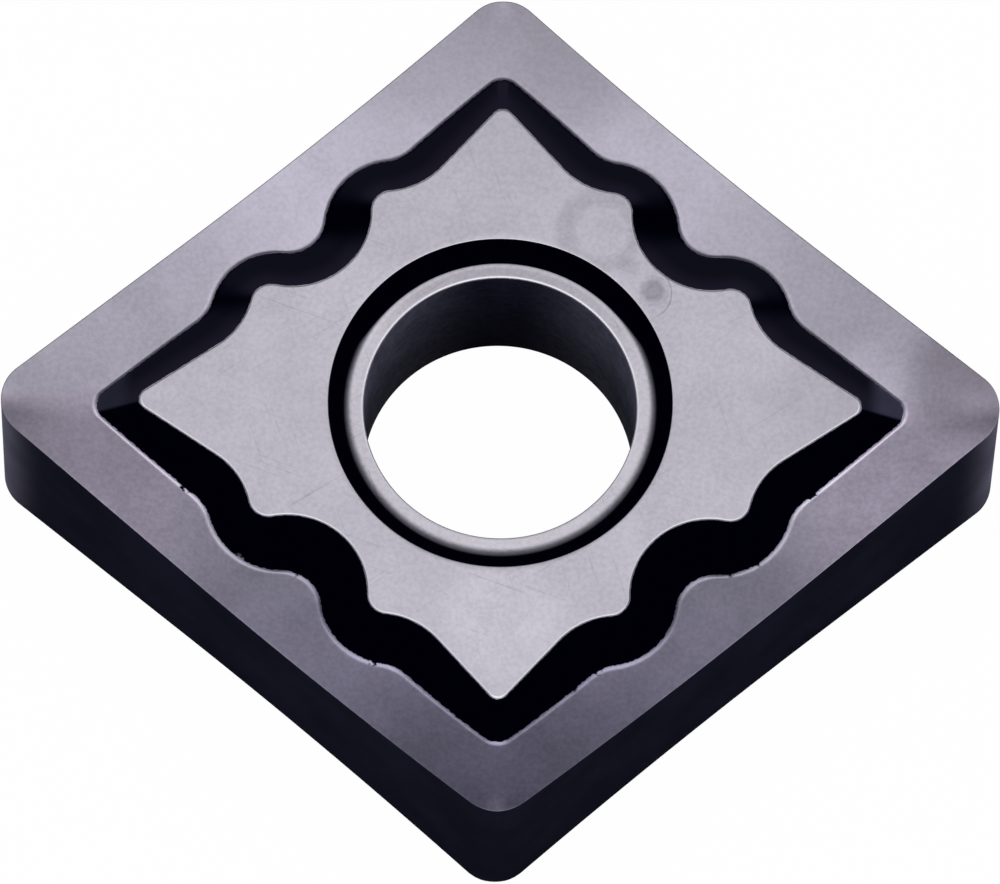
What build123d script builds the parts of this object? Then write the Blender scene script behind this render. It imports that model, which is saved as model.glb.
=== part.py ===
from build123d import *
from collections import Counter
from math import asin, atan2, cos, hypot, radians, sin, tan
import os

# Double-sided turning insert: an 80 degree rhombus with a clamping bore and the
# same chip breaker pressed into both faces. Millimetres, +Z up. The origin is on
# the bore axis in the lower seat; the two 80 degree corners lie on the X axis.

# Outline
inscribed_circle = 12.70      # touches all four flanks
corner_angle = 80.0           # included angle of the two sharp corners
corner_radius = 0.80          # nose radius, the same on all four corners
seat_thickness = 4.84         # upper seat to lower seat

# Rim, the sloping band that carries the chip
corner_drop = 0.05            # ends of a cutting edge below the seat
edge_dip = 0.48               # middle of a cutting edge below its ends
edge_level = 1.00             # level stretch of it, from the unrounded corner
edge_blend_radius = 2.50      # blends the dip into the level ends
rake_angle = 8.5              # the rim falls inwards by this in the middle of a flank
sharp_rake_angle = 10.5       # the same at its sharp corner
blunt_rake_angle = 14.0       # and at its blunt corner

# Island, the raised seat with the wavy outline
wall_angle = 39.0             # island wall above the horizontal
sharp_tip_inset = 2.911       # unrounded tip of the island from the sharp corner
blunt_tip_inset = 2.354       # unrounded tip of the island from the blunt corner
tip_radius = 0.38             # rounding of the ridge below each tip
scallop_radius = 1.525        # three scallops along each side of the island
scallops = (                  # centre: along the flank from its middle, in from it
    (-2.122, 0.568),
    (0.500, 0.891),
    (3.047, 0.521),
)
lobe_radius = 0.375           # rounding of the lobes between the scallops

# Clamping bore and the recess around it
bore_diameter = 5.16
bore_bevel = 0.02             # bevel where the bore leaves the recess floor
recess_floor = 0.34           # ring around the bore, to the unrounded foot of the wall
recess_depth = 0.34
recess_wall_angle = 43.0      # recess wall to the bore axis
recess_fillet = 0.34          # where the wall meets the ring

inradius = inscribed_circle / 2
half_angle = radians(corner_angle / 2)
long_half = inradius / sin(half_angle)    # centre to the unrounded sharp corner
short_half = inradius / cos(half_angle)   # centre to the unrounded blunt corner
flank_facing = 90 - corner_angle / 2      # direction in which the first flank faces
side_length = inscribed_circle / sin(2 * half_angle)
island_depth = max(inward for along, inward in scallops) + scallop_radius
quadrants = ((1, 1), (-1, 1), (-1, -1), (1, -1))
mid_plane = Plane.XY.offset(seat_thickness / 2)


def from_flank(along, inward):
    """Point given along the first flank from its middle and inwards from it."""
    facing = radians(flank_facing)
    x = long_half / 2 - along * sin(facing) - inward * cos(facing)
    y = short_half / 2 + along * cos(facing) - inward * sin(facing)
    return (x, y)


def tangent_point(tip, centre, side):
    """Where the straight line from a tip touches a scallop."""
    dx = centre[0] - tip[0]
    dy = centre[1] - tip[1]
    distance = hypot(dx, dy)
    turn = side * asin(scallop_radius / distance)
    reach = distance * cos(turn)
    heading = atan2(dy, dx) + turn
    return (tip[0] + reach * cos(heading), tip[1] + reach * sin(heading))


def island_outline():
    """Seat outline: four sharp tips and three scallops along every side."""
    centres = [from_flank(*place) for place in scallops]
    sharp_tip = (long_half - sharp_tip_inset, 0)
    blunt_tip = (0, short_half - blunt_tip_inset)
    first = tangent_point(sharp_tip, centres[0], 1)
    last = tangent_point(blunt_tip, centres[-1], -1)
    corners = [(0, 0), sharp_tip, first, *centres, last, blunt_tip]
    face = Sketch()
    for sx, sy in quadrants:
        quarter = [(sx * x, sy * y) for x, y in corners]
        face += make_face(Polyline(*quarter, close=True))
    for sx, sy in quadrants:
        for x, y in centres:
            face -= Pos(sx * x, sy * y) * Circle(scallop_radius)
    arcs = face.edges().filter_by(GeomType.CIRCLE)
    ends = Counter((round(v.X, 3), round(v.Y, 3)) for e in arcs for v in e.vertices())
    lobes = [v for v in face.vertices() if ends[(round(v.X, 3), round(v.Y, 3))] == 2]
    return fillet(lobes, lobe_radius)


def island():
    """The raised seat with its sloping wall, and a core that carries it."""
    outline = Pos(0, 0, seat_thickness) * island_outline()
    below_groove = 0.1
    fall = island_depth * tan(radians(rake_angle))
    wall_depth = corner_drop + edge_dip + fall + below_groove
    wall = extrude(outline, wall_depth, dir=(0, 0, -1), taper=wall_angle - 90)
    slanting = [e for e in wall.edges() if abs(e.tangent_at(0).Z) > 0.1]
    ridges = [e for e in slanting if min(abs(e.center().X), abs(e.center().Y)) < 0.01]
    wall = fillet(ridges, tip_radius)
    buried = Pos(0, 0, -wall_depth / 2) * outline
    return wall + extrude(buried, wall_depth, dir=(0, 0, -1))


def rim_section(inward):
    """The space above the rim, in an upright plane at this distance in from the flank."""
    facing = radians(flank_facing)
    plane = Plane(
        origin=(*from_flank(0, inward), seat_thickness - corner_drop),
        x_dir=(-sin(facing), cos(facing), 0),
        z_dir=(cos(facing), sin(facing), 0),
    )
    half = side_length / 2 - edge_level
    reach = long_half
    sharp_end = -inward * tan(radians(sharp_rake_angle))
    middle = -inward * tan(radians(rake_angle)) - edge_dip
    blunt_end = -inward * tan(radians(blunt_rake_angle))
    dip = ThreePointArc((-half, sharp_end), (0, middle), (half, blunt_end))
    rest = Polyline(
        (half, blunt_end),
        (reach, blunt_end),
        (reach, reach),
        (-reach, reach),
        (-reach, sharp_end),
        (-half, sharp_end),
    )
    profile = make_face(dip + rest)
    bends = [v for v in profile.vertices() if abs(abs(v.X) - half) < 0.01]
    return plane * fillet(bends, edge_blend_radius)


def rim_space():
    """The space between the rim and the seat plane, in the first quarter."""
    clearance = 0.2
    outside = rim_section(-clearance)
    inside = rim_section(island_depth + clearance)
    quarter = Box(long_half, long_half, seat_thickness, align=Align.MIN)
    return loft([outside, inside], ruled=True) & quarter


def chip_breaker():
    """What is pressed out of the upper face in the first quarter."""
    return rim_space() - island()


def block():
    """Rhombic block with four rounded corners."""
    corners = [(long_half, 0), (0, short_half), (-long_half, 0), (0, -short_half)]
    face = make_face(Polyline(*corners, close=True))
    face = fillet(face.vertices(), corner_radius)
    return extrude(face, seat_thickness)


def bore_space():
    """The bore with the recess at both ends, as one turned profile and its mirror."""
    radius = bore_diameter / 2
    floor = radius + bore_bevel + recess_floor
    spread = tan(radians(recess_wall_angle))
    middle = seat_thickness / 2
    level = middle - recess_depth
    past_seat = 0.2
    profile = Polyline(
        (0, 0),
        (radius, 0),
        (radius, level - bore_bevel),
        (radius + bore_bevel, level),
        (floor, level),
        (floor + (recess_depth + past_seat) * spread, middle + past_seat),
        (0, middle + past_seat),
        close=True,
    )
    section = make_face(profile)
    foot = section.vertices().sort_by_distance((floor, level, 0))[0]
    section = fillet(foot, recess_fillet)
    upper = revolve(Plane.XZ * section, Axis.Z)
    return Pos(0, 0, middle) * (upper + mirror(upper, Plane.XY))


def insert_body():
    """The whole insert."""
    body = block()
    upper = chip_breaker()
    for space in (upper, mirror(upper, mid_plane)):
        beside = mirror(space, Plane.YZ)
        body -= [space, beside, mirror(space, Plane.XZ), mirror(beside, Plane.XZ)]
    return body - bore_space()


os.makedirs("parts", exist_ok=True)
export_step(insert_body(), "parts/insert_body.step")
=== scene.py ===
import math
import bpy
import numpy as np
from mathutils import Matrix, Vector


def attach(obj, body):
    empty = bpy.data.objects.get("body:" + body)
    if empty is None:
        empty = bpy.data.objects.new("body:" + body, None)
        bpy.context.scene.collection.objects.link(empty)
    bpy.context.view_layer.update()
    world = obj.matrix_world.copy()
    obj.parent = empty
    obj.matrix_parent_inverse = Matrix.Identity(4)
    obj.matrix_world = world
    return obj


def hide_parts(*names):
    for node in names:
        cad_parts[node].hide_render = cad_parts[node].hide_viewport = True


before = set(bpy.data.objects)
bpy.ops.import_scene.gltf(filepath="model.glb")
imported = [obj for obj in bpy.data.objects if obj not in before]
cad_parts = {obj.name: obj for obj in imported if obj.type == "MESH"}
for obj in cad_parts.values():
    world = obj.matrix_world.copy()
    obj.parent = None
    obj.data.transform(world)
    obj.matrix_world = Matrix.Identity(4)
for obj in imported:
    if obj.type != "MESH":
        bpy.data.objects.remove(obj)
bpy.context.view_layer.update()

mm = 0.001
bodyName = "root"
nodeName = "insert_body"

# The insert, in millimetres and degrees. Heights in the form count down from the seat plane.
insertForm = {
    "inscribedCircle": 12.70,
    "cornerAngle": 80.0,
    "noseRadius": 0.80,
    "thickness": 4.84,
    "cornerDrop": 0.05,       # ends of a cutting edge below the seat
    "edgeDip": 0.48,          # middle of a cutting edge below its ends
    "edgeLevel": 1.00,        # level stretch of it, from the unrounded corner
    "edgeBlend": 0.03,        # softness of the bend into the level stretch
    "rakeAngle": 8.5,         # the rim falls inwards, in the middle of a flank
    "sharpRakeAngle": 10.5,   # at its sharp corner
    "bluntRakeAngle": 14.0,   # at its blunt corner
    "rimMargin": 0.2,         # the rim's two guide sections lie this far beyond it
    "edgeSlope": 0.085,       # the edge itself falls this steeply from the sharp corner,
    "edgeTurn": -1.5,         # as far as here along the flank,
    "edgeRadius": 28.0,       # and then bends up to the blunt corner
    "edgeStart": 6.0,         # where the fall starts, from the flank's middle
    "edgeFade": 2.4,          # this far in, the rim is back on its straight sections
    "creaseBlend": 0.05,      # softness of the valleys that run to the corners
    "hone": 0.015,            # rounding of the cutting edge
    "wallAngle": 39.0,        # island wall above the horizontal
    "footBlend": 0.095,       # softness of the groove at the foot of the wall
    "footDark": (0.42, 0.62),  # shares of the wall in it between which it turns black with painted shade
    "lipBlend": 0.018,        # softness of the island's upper edge
    "lipReach": 0.027,        # the lip's painted highlight reaches this far to both sides of it
    "wallStart": 0.04,        # the plain wall starts this far out
    "sharpTipInset": 2.911,   # island tips from the unrounded corners
    "bluntTipInset": 2.354,
    "tipRadius": 0.21,        # island tips in plan, at the seat
    "footTipRadius": 0.40,    # and where the wall is formed to
    "wallReach": 1.15,        # how far out the wall is formed
    "scallopRadius": 1.525,
    "scallops": ((-2.122, 0.568), (0.500, 0.891), (3.047, 0.521)),  # along, inwards
    "lobeRadius": 0.375,
    "boreRadius": 2.58,
    "boreEdge": 0.02,         # rounding between the bore and the recess floor
    "recessFloor": 0.34,      # ring around the bore, to the unrounded foot of the wall
    "recessDepth": 0.34,
    "recessWallAngle": 43.0,  # from the bore axis
    "recessFillet": 0.34,     # where the wall meets the ring
    "mouthEdge": 0.03,        # rounding where the recess meets the seat
    "mouthLead": 0.10,        # plain recess wall left below that rounding
    "nicks": (                # small chips of the groove's edge: place, radius, change
        ((-5.99, -1.62), 0.11, 0.60), ((-4.90, -3.05), 0.09, -0.60), ((-3.80, -3.19), 0.10, 0.45),
        ((-2.28, -4.85), 0.12, 0.55), ((-0.80, -6.15), 0.10, 0.40), ((5.98, -1.67), 0.13, 0.70),
        ((4.90, -2.95), 0.10, 0.45), ((4.39, -3.17), 0.11, 0.40), ((1.84, -5.03), 0.11, 0.50),
        ((1.30, -5.46), 0.10, 0.40),
    ),
    # Points along a quarter of the island's outline, from the sharp tip to the blunt one.
    "samples": {"sharpTip": 9, "sharpLine": 30, "scallop1": 21, "lobe1": 16, "scallop2": 38,
                "lobe2": 14, "scallop3": 18, "bluntLine": 14, "bluntTip": 7},
}


def softMax(a, b, k):
    # The larger of two values, with a parabola of width k where they cross.
    h = np.maximum(k - np.abs(a - b), 0.0) / k
    return np.maximum(a, b) + h * h * k / 4


def fade(value, low, high):
    # Rises smoothly from 0 at low to 1 at high: three squares less two cubes.
    t = np.clip((value - low) / (high - low), 0, 1)
    return t * t * (3 - 2 * t)


def unit(vector):
    # The vector divided by its length.
    return vector / np.linalg.norm(vector)


def flankFrame(f):
    # Middle of the first flank's unrounded side, its outward normal and its direction.
    half = math.radians(f["cornerAngle"] / 2)
    normal = np.array([math.sin(half), math.cos(half)])
    along = np.array([-math.cos(half), math.sin(half)])
    inradius = f["inscribedCircle"] / 2
    middle = np.array([inradius / math.sin(half), inradius / math.cos(half)]) / 2
    return middle, normal, along


def arcPoints(centre, radius, start, end, count):
    # Points on a circle from the start direction to the end direction, the short way.
    first = math.atan2(start[1], start[0])
    turn = (math.atan2(end[1], end[0]) - first + math.pi) % (2 * math.pi) - math.pi
    a = first + turn * np.linspace(0, 1, count + 1)[:-1]
    return centre + radius * np.stack([np.cos(a), np.sin(a)], axis=1)


def linePoints(start, end, count, crowd):
    # Points on a straight line, drawn towards its start where crowd is above 1.
    t = (np.linspace(0, 1, count + 1)[:-1] ** crowd)[:, None]
    return start + (end - start) * t


def islandQuarter(f, offset, tipRadius):
    # The island's outline moved outwards by an offset, in the first quarter: a straight side
    # from each tip touches the outer scallops, and lobes join the three scallops. Scallop
    # radii shrink and lobe radii grow by the offset, and the tips are rounded on their own.
    n = f["samples"]
    middle, normal, along = flankFrame(f)
    half = math.radians(f["cornerAngle"] / 2)
    inradius = f["inscribedCircle"] / 2
    radius, lobe = f["scallopRadius"], f["lobeRadius"]
    centres = [middle + along * a - normal * w for a, w in f["scallops"]]
    tips = [np.array([inradius / math.sin(half) - f["sharpTipInset"], 0.0]),
            np.array([0.0, inradius / math.cos(half) - f["bluntTipInset"]])]

    def side(tip, centre, way):
        # Direction from a tip to where its side touches the scallop, and the side's normal.
        toCentre = centre - tip
        reach = np.linalg.norm(toCentre)
        heading = math.atan2(toCentre[1], toCentre[0]) + way * math.asin(radius / reach)
        length = math.sqrt(reach ** 2 - radius ** 2)
        direction = np.array([math.cos(heading), math.sin(heading)])
        touch = tip + direction * length
        return unit(centre - touch), touch, direction

    def rounded(tip, outward, axis):
        # Centre of the tip's rounding once the side has moved out.
        sine = float(outward @ axis)            # side's normal against the tip's axis
        return tip + axis * (offset - tipRadius) / sine

    def lobeCentre(first, second):
        # Centre of the lobe that touches two scallops, on the bore's side of them.
        gap = np.linalg.norm(second - first) / 2
        across = unit(second - first)
        inward = np.array([across[1], -across[0]])
        if inward @ (first + second) > 0:
            inward = -inward
        return (first + second) / 2 + inward * math.sqrt((radius + lobe) ** 2 - gap ** 2)

    xAxis, yAxis = np.array([1.0, 0.0]), np.array([0.0, 1.0])
    n1, touch1, _ = side(tips[0], centres[0], 1)
    n3, touch3, _ = side(tips[1], centres[2], -1)
    tipA, tipB = rounded(tips[0], n1, xAxis), rounded(tips[1], n3, yAxis)
    lobes = [lobeCentre(centres[0], centres[1]), lobeCentre(centres[1], centres[2])]
    bite, bump = radius - offset, lobe + offset
    pieces = [
        arcPoints(tipA, tipRadius, xAxis, n1, n["sharpTip"]),
        linePoints(tipA + tipRadius * n1, touch1 + offset * n1, n["sharpLine"], 1.25),
        arcPoints(centres[0], bite, -n1, lobes[0] - centres[0], n["scallop1"]),
        arcPoints(lobes[0], bump, centres[0] - lobes[0], centres[1] - lobes[0], n["lobe1"]),
        arcPoints(centres[1], bite, lobes[0] - centres[1], lobes[1] - centres[1], n["scallop2"]),
        arcPoints(lobes[1], bump, centres[1] - lobes[1], centres[2] - lobes[1], n["lobe2"]),
        arcPoints(centres[2], bite, lobes[1] - centres[2], -n3, n["scallop3"]),
        linePoints(touch3 + offset * n3, tipB + tipRadius * n3, n["bluntLine"], 0.85),
        arcPoints(tipB, tipRadius, n3, yAxis, n["bluntTip"]),
        (tipB + tipRadius * yAxis)[None, :],
    ]
    return np.concatenate(pieces)


def outerQuarter(f, angle):
    # Where rays at these polar angles meet the rounded rhombus, and its outward normals.
    half = math.radians(f["cornerAngle"] / 2)
    inradius, nose = f["inscribedCircle"] / 2, f["noseRadius"]
    normal = np.array([math.sin(half), math.cos(half)])
    sharp = np.array([(inradius - nose) / math.sin(half), 0.0])
    blunt = np.array([0.0, (inradius - nose) / math.cos(half)])
    ray = np.stack([np.cos(angle), np.sin(angle)], axis=1)
    reach = inradius / (ray @ normal)
    points, normals = ray * reach[:, None], np.tile(normal, (len(angle), 1))
    for centre, chosen in ((sharp, lambda a, e: a < e), (blunt, lambda a, e: a > e)):
        end = centre + nose * normal
        onNose = chosen(angle, math.atan2(end[1], end[0]))
        towards = ray @ centre
        far = towards + np.sqrt(np.maximum(towards ** 2 - centre @ centre + nose ** 2, 0))
        met = ray * far[:, None]
        points[onNose] = met[onNose]
        normals[onNose] = ((met - centre) / nose)[onNose]
    return points, normals


def dipCurve(f, a, inward):
    # Rim section at a distance in from the flank: an arc through its two ends and its
    # middle, level beyond the ends. The bends into the level parts are softened.
    sideLength = f["inscribedCircle"] / math.sin(math.radians(f["cornerAngle"]))
    half = sideLength / 2 - f["edgeLevel"]
    sharp = -inward * math.tan(math.radians(f["sharpRakeAngle"]))
    middle = -inward * math.tan(math.radians(f["rakeAngle"])) - f["edgeDip"]
    blunt = -inward * math.tan(math.radians(f["bluntRakeAngle"]))
    squares = 2 * half ** 2 + sharp ** 2 + blunt ** 2 - 2 * middle ** 2
    up = squares / (2 * (sharp + blunt - 2 * middle))
    across = (blunt - sharp) * (blunt + sharp - 2 * up) / (4 * half)
    radius = math.hypot(across, middle - up)
    arc = up - np.sqrt(np.maximum(radius ** 2 - (a - across) ** 2, 0))
    level = np.where(a < 0, sharp, blunt)
    return -softMax(-arc, -level, f["edgeBlend"])


def edgeCurve(f, a):
    # The cutting edge along a flank: level at the sharp nose, then a straight fall, then an
    # arc, taken as a parabola, up to the level of the blunt nose.
    slope, turn = f["edgeSlope"], f["edgeTurn"]
    beyond = np.maximum(a - turn, 0.0)
    fall = slope * (a + f["edgeStart"]) - beyond ** 2 / (2 * f["edgeRadius"])
    return -softMax(fall, 0.0 * a, f["edgeBlend"])


def rimHeight(f, x, y):
    # Height of the rim: under each flank a straight line from the outer section to the
    # inner one, bent to meet the cutting edge. The highest of the four sides counts.
    middle, normal, along = flankFrame(f)
    depth = max(w for a, w in f["scallops"]) + f["scallopRadius"]
    margin = f["rimMargin"]
    height = None
    for sx, sy in ((1, 1), (-1, 1), (-1, -1), (1, -1)):
        px, py = sx * x - middle[0], sy * y - middle[1]
        a = px * along[0] + py * along[1]
        w = -(px * normal[0] + py * normal[1])
        share = (w + margin) / (depth + 2 * margin)
        outside, inside = dipCurve(f, a, -margin), dipCurve(f, a, depth + margin)
        one = -f["cornerDrop"] + outside + (inside - outside) * share
        bend = np.clip(1 - w / f["edgeFade"], -1, 1.2)
        one = one + (edgeCurve(f, a) - dipCurve(f, a, 0.0)) * bend
        height = one if height is None else softMax(height, one, f["creaseBlend"])
    return height


def insertHalfProfile(f):
    # For each point of the quarter outline, a profile from half way down the bore over the
    # recess, seat, wall and rim to half way down the flank. Heights are from the seat, and the marks
    # say for each point how far it is painted black as shade, a painted edge highlight, ring and seat.
    slope = math.tan(math.radians(f["wallAngle"]))
    middleHeight = -f["thickness"] / 2
    top = islandQuarter(f, 0.0, f["tipRadius"])
    foot = islandQuarter(f, f["wallReach"], f["footTipRadius"])
    spread = (foot - top) / f["wallReach"]

    def wallHeight(d):
        # Height of the island's wall at an offset from its upper edge: level, then sloping.
        return -softMax(d * slope, 0.0 * d, f["lipBlend"])

    # Where the wall meets the rim, by interpolation between trial offsets.
    trial = np.linspace(0.05, f["wallReach"], 90)
    spots = top[:, None, :] + spread[:, None, :] * trial[None, :, None]
    gap = wallHeight(trial)[None, :] - rimHeight(f, spots[..., 0], spots[..., 1])
    below = np.argmax(gap < 0, axis=1)
    rows = np.arange(len(top))
    above, under = gap[rows, below - 1], gap[rows, below]
    meet = trial[below - 1] + (trial[below] - trial[below - 1]) * above / (above - under)
    groove = top + spread * meet[:, None]
    grooveHeight = wallHeight(meet)

    columns, heights, zones, marks = [], [], [], {k: [] for k in ("dark", "paintedHighlight", "ring")}

    def add(points, height, zone, dark=0.0, paintedHighlight=0.0, ring=0.0):
        # One column: a point for each outline point, with its height, material and marks.
        columns.append(points)
        heights.append(np.broadcast_to(height, (len(top),)))
        zones.append(zone)
        for key, value in (("dark", dark), ("paintedHighlight", paintedHighlight), ("ring", ring)):
            marks[key].append(np.broadcast_to(value, (len(top),)))

    # Bore and recess, turned about the axis: ring, fillet, straight wall, rounded mouth. The recess
    # wall is painted black as shade, and the bore's edge and the mouth carry a painted highlight.
    heading = np.arctan2(top[:, 1], top[:, 0])
    circle = np.stack([np.cos(heading), np.sin(heading)], axis=1)
    edge, radius, fillet = f["boreEdge"], f["boreRadius"], f["recessFillet"]
    level = -f["recessDepth"]
    wallTurn = math.radians(90 - f["recessWallAngle"])
    for t in (0.0, 0.3, 0.6, 0.85, 1.0):
        add(circle * radius, middleHeight + (level - edge - middleHeight) * t, "bore")
    floorStart = radius + edge
    for a in np.radians([150, 120, 90]):
        add(circle * (floorStart + edge * math.cos(a)), level - edge + edge * math.sin(a), "top",
            paintedHighlight=1.0, ring=1.0)
    wallFoot = floorStart + f["recessFloor"]
    floorEnd = wallFoot - fillet * math.tan(wallTurn / 2)
    for t in (0.2, 0.5, 0.85):
        add(circle * (floorStart + (floorEnd - floorStart) * t), level, "top", ring=1.0)
    for t in np.linspace(0, 1, 9):
        a = wallTurn * t
        add(circle * (floorEnd + fillet * math.sin(a)), level + fillet * (1 - math.cos(a)), "top",
            dark=fade(t, 0.2, 0.65), ring=1.0)
    mouth = wallFoot + f["recessDepth"] / math.tan(wallTurn)
    bend = f["mouthEdge"]
    near = bend * math.tan(wallTurn / 2)
    lead = near + f["mouthLead"]
    add(circle * (mouth - lead), -lead * math.tan(wallTurn), "top", dark=1.0)
    for t in np.linspace(1, 0, 5):
        a = wallTurn * t
        add(circle * (mouth + near - bend * math.sin(a)), -bend * (1 - math.cos(a)), "top",
            dark=fade(t, 0.55, 0.8), paintedHighlight=fade(t, 0.0, 0.25))

    # Seat, straight from the recess to the island's edge.
    seatIn = circle * (mouth + near)
    lip = top - spread * f["lipReach"]
    for t in (0.05, 0.33, 0.66, 0.95):
        add(seatIn + (lip - seatIn) * t, 0.0, "top")

    # Island wall, along straight lines between the upper and the lower outline: the lip, a painted
    # highlight line on both sides of the edge, and then the wall, painted black as shade, down to the
    # groove.
    for d, dark, paintedHighlight in ((-f["lipReach"], 0, 0), (-0.018, 0, 0.5), (-0.009, 0, 1), (0.0, 0, 1),
                           (0.009, 0, 1), (0.018, 0.5, 1), (f["lipReach"], 1, 0.3),
                           (f["wallStart"], 1, 0)):
        add(top + spread * d, float(wallHeight(np.array(d))), "top", dark=dark, paintedHighlight=paintedHighlight)
    seatColumns = len(columns) - 3          # the last three are already wall

    def pressed(points, wall):
        # Height where wall and rim blend, and how much of the wall is left in it.
        rim = rimHeight(f, points[:, 0], points[:, 1])
        share = np.clip((wall - rim) / (2 * f["footBlend"]) + 0.5, 0, 1)
        return softMax(wall, rim, f["footBlend"]), share

    for t in (0.12, 0.3, 0.5, 0.68, 0.81, 0.88, 0.92, 0.95, 0.98, 1.0):
        d = f["wallStart"] + (meet - f["wallStart"]) * t
        p = top + spread * d[:, None]
        z, share = pressed(p, wallHeight(d))
        add(p, z, "top", dark=fade(share, *f["footDark"]))
    grooveColumn = len(columns) - 1

    # Rim, outwards along rays to the inner side of the edge rounding.
    polar = np.arctan2(groove[:, 1], groove[:, 0])
    outer, outward = outerQuarter(f, polar)
    inset = outer - outward * f["hone"]
    length = np.linalg.norm(inset - groove, axis=1)
    for away in (0.015, 0.03, 0.045, 0.06, 0.08, 0.105, 0.14):
        p = groove + (inset - groove) * (away / length)[:, None]
        z, share = pressed(p, grooveHeight - away * slope)
        add(p, z, "top", dark=fade(share, *f["footDark"]))
    start = 0.2 / length
    brink = 1 - 0.01 / length               # a last column close to the edge keeps it crisp
    for t in np.linspace(0, 1, 11):
        p = groove + (inset - groove) * (start + (brink - start) * t)[:, None]
        add(p, rimHeight(f, p[:, 0], p[:, 1]), "top")
    rimEnd = rimHeight(f, inset[:, 0], inset[:, 1])
    add(inset, rimEnd, "top")

    # Edge rounding, a quarter circle, and the upright flank.
    for a in np.radians([60, 30]):
        add(inset + outward * f["hone"] * math.cos(a), rimEnd - f["hone"] * (1 - math.sin(a)),
            "flank")
    for t in (0.0, 0.3, 0.65, 1.0):
        add(outer, (rimEnd - f["hone"]) * (1 - t) + middleHeight * t, "flank")
    grid = np.concatenate([np.stack(columns, axis=1), np.stack(heights, axis=1)[..., None]], axis=2)
    marks = {key: np.stack(value, axis=1) for key, value in marks.items()}
    marks["seat"] = np.broadcast_to(np.arange(len(zones)) < seatColumns, grid.shape[:2]) * 1.0
    return grid, zones, marks, grooveColumn


def wholeRing(quarter, flips):
    # A quarter of the ring and its mirror images, joined into a closed ring. The flips
    # are what a mirror in X and a mirror in Y multiply the last axis by.
    flipX, flipY = flips
    return np.concatenate([quarter[:-1], (quarter * flipX)[:0:-1],
                           (quarter * flipX * flipY)[:-1], (quarter * flipY)[:0:-1]])


def closedGrid(name, grid):
    # A mesh from a grid whose two directions both close on themselves.
    rows, cols = grid.shape[:2]
    index = np.arange(rows * cols).reshape(rows, cols)
    right, up = np.roll(index, -1, axis=0), np.roll(index, -1, axis=1)
    corner = np.roll(right, -1, axis=1)
    quads = np.stack([up, corner, right, index], axis=2).reshape(-1, 4)
    mesh = bpy.data.meshes.new(name)
    mesh.vertices.add(rows * cols)
    mesh.vertices.foreach_set("co", grid.reshape(-1))
    mesh.loops.add(quads.size)
    mesh.loops.foreach_set("vertex_index", quads.reshape(-1))
    mesh.polygons.add(len(quads))
    mesh.polygons.foreach_set("loop_start", np.arange(0, quads.size, 4))
    mesh.update(calc_edges=True)
    mesh.validate()
    mesh.polygons.foreach_set("use_smooth", np.ones(len(quads), dtype=bool))
    piece = bpy.data.objects.new(name, mesh)
    bpy.context.scene.collection.objects.link(piece)
    return piece


def withLower(upper):
    # Values of the upper half followed by the same ones, in reverse, for the lower half.
    return np.concatenate([upper, upper[:, -2:0:-1]], axis=1)


def buildInsert(f, c):
    # The upper half of every profile, then the same profile mirrored below the mid plane.
    quarter, zones, marks, grooveColumn = insertHalfProfile(f)
    upper = wholeRing(quarter, (np.array([-1.0, 1.0, 1.0]), np.array([1.0, -1.0, 1.0])))
    grid = withLower(upper)
    lowerHalf = grid[:, upper.shape[1]:, 2]
    lowerHalf[:] = -f["thickness"] - lowerHalf
    grid[..., 2] += f["thickness"]
    piece = closedGrid("turningInsert", grid * mm)
    marks = {key: wholeRing(value, (1.0, 1.0)) for key, value in marks.items()}
    marks["dark"] = nicked(marks["dark"], upper, upper[:, grooveColumn], f["nicks"])
    for key, value in marks.items():
        addAttribute(piece.data, key, withLower(value))
    paintShares(piece, f, c, grid, withLower(marks["seat"]) > 0.5)

    # Each face takes the slot of its column, counted from the bore outwards.
    slots = {"bore": 0, "top": 1, "flank": 2}
    column = [slots[z] for z in zones]
    faceSlot = np.concatenate([column[1:], column[:0:-1]])
    slot = np.broadcast_to(faceSlot, grid.shape[:2]).reshape(-1)
    piece.data.polygons.foreach_set("material_index", np.ascontiguousarray(slot, dtype=np.int32))
    return piece


def paintShares(piece, f, c, grid, onSeat):
    # The other attributes, from a point's place and normal. Turned: how far a flank has gone round a
    # sharp corner, for its painted sheen. Rear: which walls face the rear, for their painted
    # reflection.
    # Last, the factor on the metal that paints light and shade on seat and rim.
    x, y = grid[..., 0], grid[..., 1]
    across = np.abs(x)
    half, inradius = math.radians(f["cornerAngle"] / 2), f["inscribedCircle"] / 2
    noseCentre = (inradius - f["noseRadius"]) / math.sin(half)
    before = c["turnBefore"]
    turned = np.clip((across - noseCentre + before) / (f["noseRadius"] + before), 0, 1)
    addAttribute(piece.data, "turned", turned ** c["turnPower"])
    normals = np.empty(grid.size)
    piece.data.vertices.foreach_get("normal", normals)
    facing = normals.reshape(grid.shape)[..., 1]
    tipStart, offset, slope, softness = c["tipSplit"]
    beside = offset + slope * (across - tipStart)
    rear = np.where(across > tipStart, fade(y, beside - softness, beside + softness),
                    fade(facing, *c["rearFacing"]))
    addAttribute(piece.data, "rear", rear)
    # Painted shade darkens the rim towards the blunt corners, and soft patches of painted light and
    # shade brighten or darken seat and rim; both go into one factor.
    rimShade = 1 - (1 - c["rimEndShade"]) * fade(np.abs(y), *c["rimEndsSpan"])
    paintedShading = np.where(onSeat, patches(c["seatLightPatches"], x, y), patches(c["rimLightPatches"], x, y) * rimShade)
    addAttribute(piece.data, "paintedShading", paintedShading)
    # Painted colour of the light on the rim at the sharp corners.
    addAttribute(piece.data, "warmNoseLight", noseLightShare(c["noseSpans"], x, y))


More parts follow.
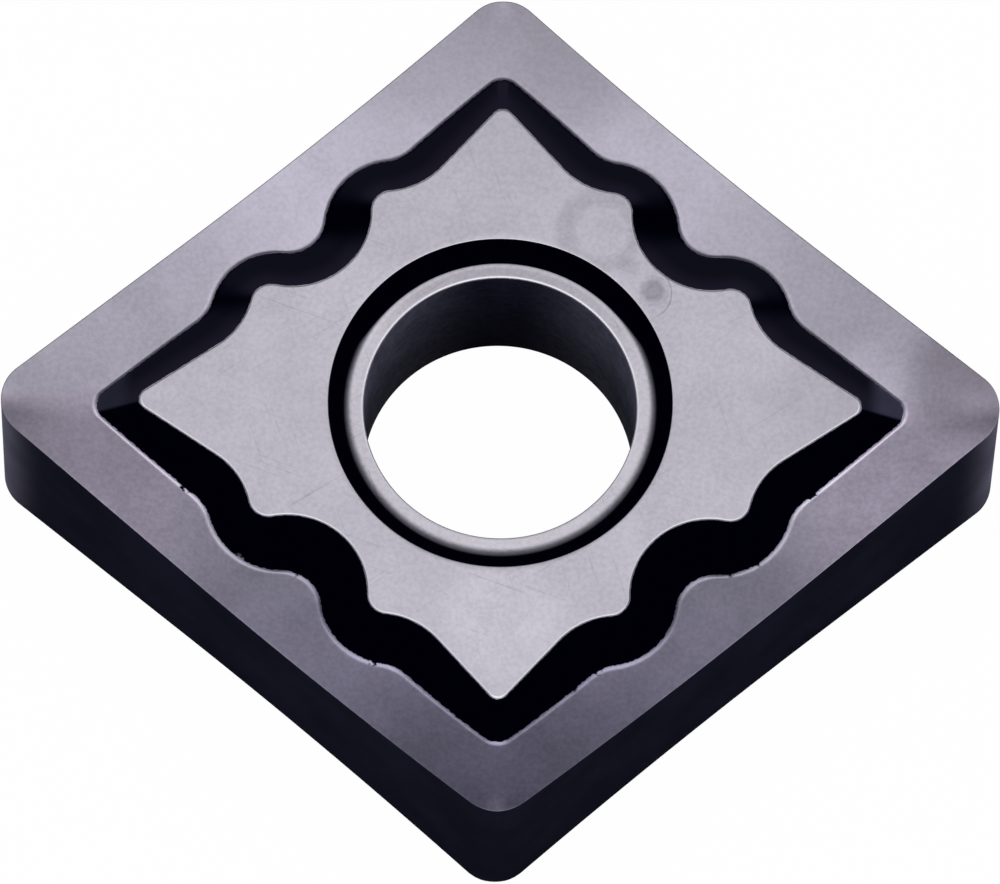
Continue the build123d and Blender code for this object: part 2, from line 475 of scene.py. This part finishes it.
def patches(shadingPatches, x, y):
    # Each soft patch of painted light and shade adds or takes its change, in full within its radius
    # and fading over its softness; the factors are multiplied.
    factor = np.ones(x.shape)
    for (centreX, centreY), radius, softness, change in shadingPatches:
        reach = np.hypot(x - centreX, y - centreY)
        factor = factor * (1 + change * (1 - fade(reach, radius, radius + softness)))
    return factor


def noseLightShare(spans, x, y):
    # Share of the warmer rim colour, painted as the colour of the light: towards both sharp corners
    # in front of their axis, and on the right one behind it too.
    front = fade(np.abs(x), *spans["both"]) * (1 - fade(y, *spans["axis"]))
    return np.maximum(front, fade(x, *spans["right"]))


def nicked(dark, grid, line, nicks):
    # Each nick darkens or clears the groove's edge by a bell curve of its radius, centred on
    # the point of the groove line that is nearest to its place.
    for (x, y), radius, change in nicks:
        centre = line[np.argmin(np.hypot(line[:, 0] - x, line[:, 1] - y))]
        reach = np.hypot(grid[..., 0] - centre[0], grid[..., 1] - centre[1])
        dark = np.clip(dark + change * np.exp(-(reach / radius) ** 2), 0, 1)
    return dark


def addAttribute(mesh, name, values):
    # One value for each vertex.
    layer = mesh.attributes.new(name, "FLOAT", "POINT")
    layer.data.foreach_set("value", np.ascontiguousarray(values, dtype=np.float32).reshape(-1))


def put(tree, kind, sockets=None, **fields):
    # A node with its fields set; each socket gets a value or a link.
    node = tree.nodes.new(kind)
    for key, value in fields.items():
        setattr(node, key, value)
    for key, value in (sockets or {}).items():
        if isinstance(value, bpy.types.NodeSocket):
            tree.links.new(value, node.inputs[key])
        else:
            node.inputs[key].default_value = value
    return node


def calc(tree, operation, a, b=0.0):
    # One step of arithmetic.
    return put(tree, "ShaderNodeMath", {0: a, 1: b}, operation=operation).outputs[0]


def ramp(tree, value, low, high, toLow=0.0, toHigh=1.0):
    # The value's way from low to high, smoothed, laid over the range toLow to toHigh.
    sockets = {"Value": value, "From Min": low, "From Max": high, "To Min": toLow, "To Max": toHigh}
    return put(tree, "ShaderNodeMapRange", sockets, interpolation_type="SMOOTHSTEP").outputs["Result"]


def mixed(tree, share, first, second):
    # The first colour where the share is 0, the second where it is 1.
    first = (*first, 1) if isinstance(first, tuple) else first
    second = (*second, 1) if isinstance(second, tuple) else second
    return put(tree, "ShaderNodeMix", {0: share, 6: first, 7: second}, data_type="RGBA").outputs[2]


def shaded(tree, color, factor):
    # A colour times a number.
    return put(tree, "ShaderNodeVectorMath", {0: color, "Scale": factor}, operation="SCALE").outputs[0]


def attributeValue(tree, name):
    # The number that the mesh holds under this name.
    return put(tree, "ShaderNodeAttribute", attribute_name=name).outputs["Fac"]


def millimetres(tree):
    # Object coordinates in millimetres.
    place = put(tree, "ShaderNodeTexCoord").outputs["Object"]
    return put(tree, "ShaderNodeVectorMath", {0: place, "Scale": 1 / mm}, operation="SCALE").outputs[0]


def newMaterial(name):
    # A material that holds one Principled shader.
    material = bpy.data.materials.new(name)
    material.use_nodes = True
    tree = material.node_tree
    tree.nodes.clear()
    shader = put(tree, "ShaderNodeBsdfPrincipled")
    put(tree, "ShaderNodeOutputMaterial", {"Surface": shader.outputs["BSDF"]})
    return material, tree, shader


def newGroup(name, inputs, outputs):
    # A node group; an input without a value is a vector, every output is a number.
    group = bpy.data.node_groups.new(name, "ShaderNodeTree")
    for label, value in inputs.items():
        kind = "NodeSocketVector" if value is None else "NodeSocketFloat"
        socket = group.interface.new_socket(name=label, in_out="INPUT", socket_type=kind)
        if value is not None:
            socket.default_value = value
    for label in outputs:
        group.interface.new_socket(name=label, in_out="OUTPUT", socket_type="NodeSocketFloat")
    return group, put(group, "NodeGroupInput").outputs, put(group, "NodeGroupOutput").inputs


def useGroup(tree, group, sockets):
    # A group placed with its values or links, and its outputs.
    return put(tree, "ShaderNodeGroup", sockets, node_tree=group).outputs


def makeGrain():
    # Grain: noise of the given size in millimetres, and a cloud twelve times larger.
    group, given, wanted = newGroup("fineGrain", {"Vector": None, "Size": 0.1, "Soften": 0.5},
                                    ("Grain", "Cloud"))
    common = {"Vector": given["Vector"], "Roughness": given["Soften"]}
    density = calc(group, "DIVIDE", 1.0, given["Size"])
    coarse = calc(group, "DIVIDE", density, 12.0)
    grain = put(group, "ShaderNodeTexNoise", {**common, "Scale": density, "Detail": 2.0})
    cloud = put(group, "ShaderNodeTexNoise", {**common, "Scale": coarse, "Detail": 3.0})
    group.links.new(grain.outputs["Fac"], wanted["Grain"])
    group.links.new(cloud.outputs["Fac"], wanted["Cloud"])
    return group


def makeScratches():
    # Scratches: noise drawn out along three directions; only its crests are kept.
    inputs = {"Vector": None, "Turn": 0.0, "Length": 3.0, "Width": 0.03, "Amount": 0.3}
    group, given, wanted = newGroup("scratchLines", inputs, ("Mask",))
    low = ramp(group, given["Amount"], 0.0, 1.0, 0.80, 0.52)
    fine = put(group, "ShaderNodeCombineXYZ", {0: calc(group, "DIVIDE", 1.0, given["Length"]),
                                               1: calc(group, "DIVIDE", 1.0, given["Width"]),
                                               2: 1.0}).outputs[0]
    mask = None
    for order, offset in enumerate((0.0, 0.9, 2.2)):
        angle = calc(group, "ADD", given["Turn"], offset)
        turned = put(group, "ShaderNodeVectorRotate", {"Vector": given["Vector"], "Angle": angle},
                     rotation_type="Z_AXIS").outputs[0]
        apart = (order * 31.0, order * 17.0, 0.0)
        drawn = put(group, "ShaderNodeVectorMath", {0: turned, 1: fine, 2: apart},
                    operation="MULTIPLY_ADD").outputs[0]
        noise = put(group, "ShaderNodeTexNoise", {"Vector": drawn, "Scale": 1.0, "Detail": 1.0})
        one = ramp(group, noise.outputs["Fac"], low, calc(group, "ADD", low, 0.06))
        mask = one if mask is None else calc(group, "MAXIMUM", mask, one)
    group.links.new(mask, wanted["Mask"])
    return group


def spot(tree, place, centre, radius, softness):
    # 1 within the radius of a centre in the XY plane, fading to 0 over the softness.
    def step(operation, *values):
        # One step of arithmetic on vectors.
        return put(tree, "ShaderNodeVectorMath", dict(enumerate(values)), operation=operation).outputs

    gap = step("SUBTRACT", place, (*centre, 0.0))[0]
    reach = step("LENGTH", step("MULTIPLY", gap, (1.0, 1.0, 0.0))[0])["Value"]
    return ramp(tree, reach, radius, radius + softness, 1.0, 0.0)


# Colours are of the metal and the coating, and many also paint light and shade: black walls, flanks and
# recess, lighter and darker patches and highlights. Places and spans are in millimetres, with X
# across, Y to the rear and Z up from the lower seat; a span is where a change starts and ends.
coatsAndPaintedLight = {
    "seatColor": (0.280, 0.270, 0.300),
    "seatLightPatches": (                         # painted light and shade in soft patches: centre, radius, softness, change
        ((0.0, -4.2), 0.5, 1.0, 0.11), ((6.4, 0.0), 0.5, 1.2, -0.12), ((0.0, 5.1), 0.4, 0.8, -0.06),
        ((-3.0, 2.1), 0.4, 1.2, 0.08),
    ),
    "seatRoughness": 0.32,
    "ringColor": (0.309, 0.298, 0.326),
    "rearRingShade": 0.76,                      # painted shade: share of the ring's colour at its rear
    "rearRingSpan": (0.5, 2.9),
    "rimColor": (0.236, 0.225, 0.262),
    "nearRimShade": (0.237, 0.223, 0.294),      # bluer, as painted shade, towards the blunt corner in front
    "nearRimSpan": (-6.0, -1.0),
    "noseRimLight": (0.240, 0.217, 0.262),      # warmer, as painted light, towards the sharp corners
    # Across on both sides, over the axis to the rear, and on the right also behind it.
    "noseSpans": {"both": (4.5, 7.5), "axis": (-0.1, 0.5), "right": (7.6, 8.6)},
    "rimEndShade": 0.755,                      # painted shade: share of the rim's colour at the blunt corners
    "rimEndsSpan": (5.0, 7.2),
    "rimLightPatches": (                          # painted light and shade in soft patches, as on the seat
        ((-6.8, -1.6), 0.6, 2.2, 0.38), ((7.2, -1.2), 0.8, 2.4, 0.62), ((-4.5, -4.2), 0.8, 2.2, -0.12),
        ((4.3, -4.2), 0.8, 2.2, -0.17), ((-5.2, 3.3), 1.2, 2.5, 0.16), ((8.9, 0.6), 0.7, 0.9, -0.38),
        ((8.8, -0.42), 0.3, 0.9, 0.10), ((8.5, 0.1), 0.9, 1.2, -0.10), ((-9.0, 0.0), 0.3, 1.0, -0.10),
        ((0.0, -7.6), 0.5, 1.0, 0.13), ((-2.0, -6.0), 0.5, 1.3, -0.06), ((2.0, -6.0), 0.5, 1.3, -0.09),
        ((1.3, 6.6), 0.4, 1.2, -0.12), ((-8.1, 1.0), 0.6, 1.2, 0.09),
    ),
    "rimRoughness": 0.34,
    "edgeHighlight": (0.46, 0.45, 0.48),       # painted highlight on the edges of the seat and the bore
    "frontWallShade": (0.0004, 0.0004, 0.0036),  # painted shade, all but black: island walls that face the front
    "rearWallShade": (0.0085, 0.0085, 0.0165),  # and the rear, a little lighter as painted reflection
    "rearFacing": (0.1, 0.42),             # a wall's normal along Y as it turns to the rear
    "tipSplit": (6.8, -0.04, -0.12, 0.03),  # from this X on a line parts them: Y, slope, softness
    "ridgeHighlight": (0.0170, 0.0160, 0.0290),  # painted highlight along the lip, and down the tip at the back
    "ridgeHeight": (4.45, 4.80),
    "ridgeWidth": (0.07, 0.14),
    "tipWallLight": (0.026, 0.026, 0.042),      # painted reflection at the sharp tips
    "tipSpan": (6.9, 7.25),
    "rightTipLight": 1.9,                       # the right tip's wall is painted this much lighter
    "rightTipSpan": (-7.0, 7.0),
    # Painted shade: the recess wall turns black sooner at its rear.
    "recessRear": (1.2, 2.7),              # here the recess wall turns black sooner,
    "recessGain": 6.0,                     # by this much
    # Painted shade: the flanks are all but black.
    "flankShadeColor": (0.0140, 0.0145, 0.0262),
    "turnedFlankSheen": (0.200, 0.193, 0.248),  # painted sheen where it goes round a sharp corner
    "turnBefore": 0.1,                     # the change starts this far before the nose
    "turnPower": 2.8,                      # the higher, the later it comes
    "boreColor": (0.034, 0.034, 0.058),
    # Painted light on the bore's left and right sides.
    "boreSideLight": (0.225, 0.227, 0.300),
    "boreSideSpan": (0.3, 2.6),
    "boreHeight": (0.6, 4.6),              # painted shade: the bore darkens downwards between these
    "boreBottom": 0.3,
    "scratchWear": 0.18,                   # share of the seat's colour that each takes off
    "speckWear": 0.15,
    "stainWear": 0.15,
    "stain": ((1.90, 3.42), 0.50, 0.10),   # centre, radius, softness
    "stainRing": ((1.84, 3.43), 0.72, 0.22),  # the same, and the stain is what lies between
    # Smudges: centre, radius, softness, strength.
    "smudges": (((2.43, 2.73), 0.08, 0.20, 0.16), ((2.87, 2.25), 0.14, 0.17, 0.34)),
    "curls": (                             # centre, radius, half width, from X, strength
        ((2.70, 2.20), 0.515, 0.014, 2.80, 0.30), ((2.87, 2.25), 0.28, 0.02, 2.60, 0.10),
        ((1.90, 3.42), 0.50, 0.02, 0.50, 0.07),
    ),
    "nickDepth": 1.6,                      # how ragged the grain makes the groove's edge
}


def finish(tree, shader, roughness, grain, strength, depth):
    # Roughness, a bump of the grain with its depth in millimetres, and no plain gloss.
    if isinstance(roughness, bpy.types.NodeSocket):
        tree.links.new(roughness, shader.inputs["Roughness"])
    else:
        shader.inputs["Roughness"].default_value = roughness
    shader.inputs["Specular IOR Level"].default_value = 0.0
    bump = put(tree, "ShaderNodeBump", {"Height": grain, "Strength": strength, "Distance": depth * mm})
    tree.links.new(bump.outputs["Normal"], shader.inputs["Normal"])


def seatWear(tree, c, place, axes, grain, scratches):
    # What grain, scratches, specks, the stain and the marks of handling take off the seat.
    wear = calc(tree, "MULTIPLY", scratches, c["scratchWear"])
    stain = calc(tree, "SUBTRACT", spot(tree, place, *c["stainRing"]), spot(tree, place, *c["stain"]))
    stain = calc(tree, "MULTIPLY", calc(tree, "MAXIMUM", stain, 0.0), c["stainWear"])
    wear = calc(tree, "ADD", wear, stain)
    for centre, radius, width, fromX, strength in c["curls"]:
        line = calc(tree, "SUBTRACT", spot(tree, place, centre, radius + width, width),
                    spot(tree, place, centre, radius - width, width))
        line = calc(tree, "MULTIPLY", line, ramp(tree, axes["X"], fromX, fromX + 0.3, 0.0, strength))
        wear = calc(tree, "ADD", wear, line)
    wear = calc(tree, "ADD", wear, ramp(tree, grain, 0.70, 0.76, 0.0, c["speckWear"]))
    for centre, radius, softness, strength in c["smudges"]:
        smudge = calc(tree, "MULTIPLY", spot(tree, place, centre, radius, softness), strength)
        wear = calc(tree, "ADD", wear, smudge)
    return wear


def brightMetal(tree, c, axes, seat, ring):
    # Seat, ring and rim, each with its own colour, with painted shade at the ring's rear and painted
    # colours of light and shade on the rim, times the painted light and shade factor.
    # Painted shade darkens the ring towards its rear.
    ringRearShade = ramp(tree, axes["Y"], *c["rearRingSpan"], 1.0, c["rearRingShade"])
    inner = mixed(tree, ring, c["seatColor"], shaded(tree, c["ringColor"], ringRearShade))
    # Painted colours: of shade on the rim in front, and of light at the sharp corners.
    rim = mixed(tree, ramp(tree, axes["Y"], *c["nearRimSpan"], 1.0, 0.0), c["rimColor"], c["nearRimShade"])
    rim = mixed(tree, attributeValue(tree, "warmNoseLight"), rim, c["noseRimLight"])
    return shaded(tree, mixed(tree, seat, rim, inner), attributeValue(tree, "paintedShading"))


def paintedWallShade(tree, c, axes, seat, outside):
    # The island's wall, painted as shade: all but black in front, a little lighter with painted
    # reflection at the rear, along the lip and at the tips.
    ridge = calc(tree, "MAXIMUM", ramp(tree, axes["Z"], *c["ridgeHeight"]),
                 ramp(tree, outside, *c["ridgeWidth"], 1.0, 0.0))
    rearWallShade = mixed(tree, ridge, c["rearWallShade"], c["ridgeHighlight"])
    tip = shaded(tree, c["tipWallLight"], ramp(tree, axes["X"], *c["rightTipSpan"], 1.0, c["rightTipLight"]))
    rearWallShade = mixed(tree, ramp(tree, outside, *c["tipSpan"]), rearWallShade, tip)
    rear = calc(tree, "SUBTRACT", attributeValue(tree, "rear"), seat)
    return mixed(tree, rear, c["frontWallShade"], rearWallShade)


def topMaterial(c, grainGroup, scratchGroup):
    # The pressed face: bright metal on seat, ring and rim, and steep walls painted black as shade.
    material, tree, shader = newMaterial("pressedTop")
    place = millimetres(tree)
    axes = put(tree, "ShaderNodeSeparateXYZ", {0: place}).outputs
    outside = calc(tree, "ABSOLUTE", axes["X"])
    seat, ring, dark, paintedHighlight = (attributeValue(tree, n) for n in ("seat", "ring", "dark", "paintedHighlight"))
    grain = useGroup(tree, grainGroup, {"Vector": place, "Size": 0.09, "Soften": 0.6})
    fine = useGroup(tree, scratchGroup, {"Vector": place, "Turn": 0.35, "Length": 2.6, "Width": 0.035,
                                         "Amount": 0.4})

    # The bright metal varies a little with the grain, and wear darkens the seat.
    level = calc(tree, "ADD", ramp(tree, grain["Grain"], 0.25, 0.75, -0.10, 0.10),
                 ramp(tree, grain["Cloud"], 0.3, 0.7, -0.07, 0.07))
    wear = seatWear(tree, c, place, axes, grain["Grain"], fine["Mask"])
    factor = calc(tree, "SUBTRACT", calc(tree, "ADD", level, 1.0), calc(tree, "MULTIPLY", wear, seat))
    bright = shaded(tree, brightMetal(tree, c, axes, seat, ring), factor)
    bright = mixed(tree, paintedHighlight, bright, c["edgeHighlight"])

    # How far the painted black of the shade covers it: ragged along the groove, deeper at the recess's
    # rear.
    between = calc(tree, "MULTIPLY", dark, calc(tree, "SUBTRACT", 1.0, dark))
    ragged = ramp(tree, grain["Grain"], 0.3, 0.7, -c["nickDepth"], c["nickDepth"])
    paintedBlack = ramp(tree, calc(tree, "ADD", dark, calc(tree, "MULTIPLY", between, ragged)), 0.25, 0.75)
    deeper = calc(tree, "MULTIPLY", ring, ramp(tree, axes["Y"], *c["recessRear"], 0.0, c["recessGain"]))
    sunk = calc(tree, "MINIMUM", calc(tree, "MULTIPLY", dark, calc(tree, "ADD", deeper, 1.0)), 1.0)
    paintedBlack = mixed(tree, seat, paintedBlack, sunk)
    color = mixed(tree, paintedBlack, bright, paintedWallShade(tree, c, axes, seat, outside))
    tree.links.new(color, shader.inputs["Base Color"])
    tree.links.new(calc(tree, "SUBTRACT", 1.0, paintedBlack), shader.inputs["Metallic"])
    rough = ramp(tree, seat, 0, 1, c["rimRoughness"], c["seatRoughness"])
    rough = calc(tree, "ADD", rough, calc(tree, "MULTIPLY", level, 0.15))
    finish(tree, shader, rough, grain["Grain"], 0.25, 0.004)
    return material


def flankMaterial(c, grainGroup):
    # Ground flanks, painted all but black as shade, lighter with a painted sheen where they go round a
    # sharp corner.
    material, tree, shader = newMaterial("flankPaintedShade")
    place = millimetres(tree)
    grain = useGroup(tree, grainGroup, {"Vector": place, "Size": 0.12, "Soften": 0.5})
    color = mixed(tree, attributeValue(tree, "turned"), c["flankShadeColor"], c["turnedFlankSheen"])
    color = shaded(tree, color, ramp(tree, grain["Cloud"], 0.3, 0.7, 0.85, 1.15))
    tree.links.new(color, shader.inputs["Base Color"])
    finish(tree, shader, ramp(tree, grain["Grain"], 0.2, 0.8, 0.5, 0.66), grain["Grain"], 0.3, 0.004)
    return material


def boreMaterial(c, grainGroup):
    # Sintered bore: mottled, with painted light to the left and right and painted shade that leaves it
    # lighter towards the top.
    material, tree, shader = newMaterial("boreSkin")
    place = millimetres(tree)
    grain = useGroup(tree, grainGroup, {"Vector": place, "Size": 0.15, "Soften": 0.6})
    axes = put(tree, "ShaderNodeSeparateXYZ", {0: place}).outputs
    sides = ramp(tree, calc(tree, "ABSOLUTE", axes["X"]), *c["boreSideSpan"])
    color = mixed(tree, sides, c["boreColor"], c["boreSideLight"])
    depth = ramp(tree, axes["Z"], *c["boreHeight"], c["boreBottom"], 1.0)
    mottle = calc(tree, "ADD", ramp(tree, grain["Grain"], 0.25, 0.75, 0.8, 1.2),
                  ramp(tree, grain["Cloud"], 0.3, 0.7, -0.2, 0.2))
    color = shaded(tree, color, calc(tree, "MULTIPLY", depth, mottle))
    tree.links.new(color, shader.inputs["Base Color"])
    finish(tree, shader, 0.6, grain["Grain"], 0.4, 0.008)
    return material


fineGrain, scratchLines = makeGrain(), makeScratches()
insert = buildInsert(insertForm, coatsAndPaintedLight)
for coat in (boreMaterial(coatsAndPaintedLight, fineGrain), topMaterial(coatsAndPaintedLight, fineGrain, scratchLines),
             flankMaterial(coatsAndPaintedLight, fineGrain)):
    insert.data.materials.append(coat)
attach(insert, bodyName)
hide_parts(nodeName)
print("insert built:", len(insert.data.polygons), "quads")

# The stage, in metres: a floor disc with a low wall round it, both white to the eye.
stageForm = {"floorRadius": 0.40, "bowlRadius": 0.22, "color": (0.90, 0.90, 0.90), "glow": 0.985}


def whiteForEyes(tree, shader, share):
    # Seen directly or in a reflection, this share of the surface is plain white.
    path = put(tree, "ShaderNodeLightPath").outputs
    seen = calc(tree, "MAXIMUM", path["Is Camera Ray"], path["Is Glossy Ray"])
    seen = calc(tree, "MAXIMUM", seen, path["Is Transmission Ray"])
    white = put(tree, "ShaderNodeEmission", {"Strength": 1.0})
    both = put(tree, "ShaderNodeMixShader", {0: calc(tree, "MULTIPLY", seen, share),
                                             1: shader.outputs["BSDF"], 2: white.outputs[0]})
    output = next(n for n in tree.nodes if n.type == "OUTPUT_MATERIAL")
    tree.links.new(both.outputs[0], output.inputs["Surface"])


def buildStage(s):
    # A floor disc that curves up into a low wall: a quarter circle profile turned about Z.
    turns = np.radians(np.arange(0, 360, 5))
    a = np.radians(np.linspace(0, 80, 12))
    reach = np.concatenate([[0.02, 0.2], s["floorRadius"] + s["bowlRadius"] * np.sin(a)])
    height = np.concatenate([[0.0, 0.0], s["bowlRadius"] * (1 - np.cos(a))])
    ways = np.stack([np.cos(turns), np.sin(turns)], axis=1)
    level = np.broadcast_to(height, (len(turns), len(reach)))
    grid = np.concatenate([ways[:, None, :] * reach[None, :, None], level[..., None]], axis=2)
    rows, cols = grid.shape[:2]
    index = np.arange(rows * cols).reshape(rows, cols)
    right = np.roll(index, -1, axis=0)
    quads = np.stack([index[:, :-1], index[:, 1:], right[:, 1:], right[:, :-1]], axis=2)
    faces = quads.reshape(-1, 4).tolist() + [index[::-1, 0].tolist()]
    mesh = bpy.data.meshes.new("paleFloor")
    mesh.from_pydata(grid.reshape(-1, 3).tolist(), [], faces)
    floor = bpy.data.objects.new("paleFloor", mesh)
    bpy.context.scene.collection.objects.link(floor)
    material, tree, shader = newMaterial("palePaper")
    shader.inputs["Base Color"].default_value = (*s["color"], 1)
    shader.inputs["Roughness"].default_value = 0.9
    shader.inputs["Specular IOR Level"].default_value = 0.0
    whiteForEyes(tree, shader, s["glow"])
    mesh.materials.append(material)
    return floor


buildStage(stageForm)
print("floor laid")

# Two soft discs overhead that face the insert, in metres: where they hang and how wide
# they are. Radiance is what a mirror in the insert's place would show.
lighting = {
    "worldColor": (0.95, 0.92, 1.20),
    "worldLevel": 0.18,
    "softboxes": {
        "wideSoftbox": {"place": (0.0, 0.0, 0.47), "size": 0.78, "radiance": 0.54},
        "keySoftbox": {"place": (0.003, 0.018, 0.45), "size": 0.33, "radiance": 1.97},
    },
}


def buildLight(g):
    # A dim even world, and each softbox turned to face the insert.
    world = bpy.data.worlds.new("studio")
    bpy.context.scene.world = world
    world.use_nodes = True
    backdrop = world.node_tree.nodes["Background"].inputs
    backdrop["Color"].default_value = (*g["worldColor"], 1)
    backdrop["Strength"].default_value = g["worldLevel"]
    for name, box in g["softboxes"].items():
        lamp = bpy.data.lights.new(name, "AREA")
        lamp.shape = "DISK"
        lamp.size = box["size"]
        lamp.energy = box["radiance"] * math.pi * math.pi * (box["size"] / 2) ** 2
        softbox = bpy.data.objects.new(name, lamp)
        softbox.location = box["place"]
        softbox.rotation_euler = Vector(box["place"]).to_track_quat("Z", "Y").to_euler()
        softbox.visible_camera = False
        bpy.context.scene.collection.objects.link(softbox)


# Where the camera stands: angles in degrees, distances in millimetres.
view = {
    "elevation": 72.235,
    "turn": 1.379,            # about the bore
    "roll": -1.930,           # about its own line of sight
    "distance": 344.573,      # to the seat
    "aside": 0.006,           # its line of sight passes the bore's middle by this
    "above": 0.749,           # and by this
    "scale": 52.948,          # pixels for each millimetre at the seat
    "imageWidth": 1000,
}


def buildCamera(v, seatHeight):
    # Its axes from elevation and roll, its place along them, then all turned about the bore.
    e, turn, roll = (math.radians(v[k]) for k in ("elevation", "turn", "roll"))
    levelRight = Vector((1, 0, 0))
    levelUp = Vector((0, math.sin(e), math.cos(e)))
    back = Vector((0, -math.cos(e), math.sin(e)))
    right = math.cos(roll) * levelRight - math.sin(roll) * levelUp
    up = math.sin(roll) * levelRight + math.cos(roll) * levelUp
    place = back * v["distance"] - right * v["aside"] - up * v["above"]
    spin = Matrix.Rotation(-turn, 4, "Z")
    data = bpy.data.cameras.new("camera")
    data.sensor_width = 36.0
    data.lens = v["scale"] * v["distance"] / v["imageWidth"] * data.sensor_width
    data.clip_start, data.clip_end = 0.01, 2.0
    camera = bpy.data.objects.new("camera", data)
    axes = Matrix((right, up, back)).transposed().to_4x4()
    seat = Matrix.Translation((0, 0, seatHeight * mm))
    camera.matrix_world = seat @ spin @ Matrix.Translation(place * mm) @ axes
    bpy.context.scene.collection.objects.link(camera)
    bpy.context.scene.camera = camera


buildLight(lighting)
buildCamera(view, insertForm["thickness"])
bpy.context.scene.view_settings.view_transform = "Standard"
print("light and camera placed")
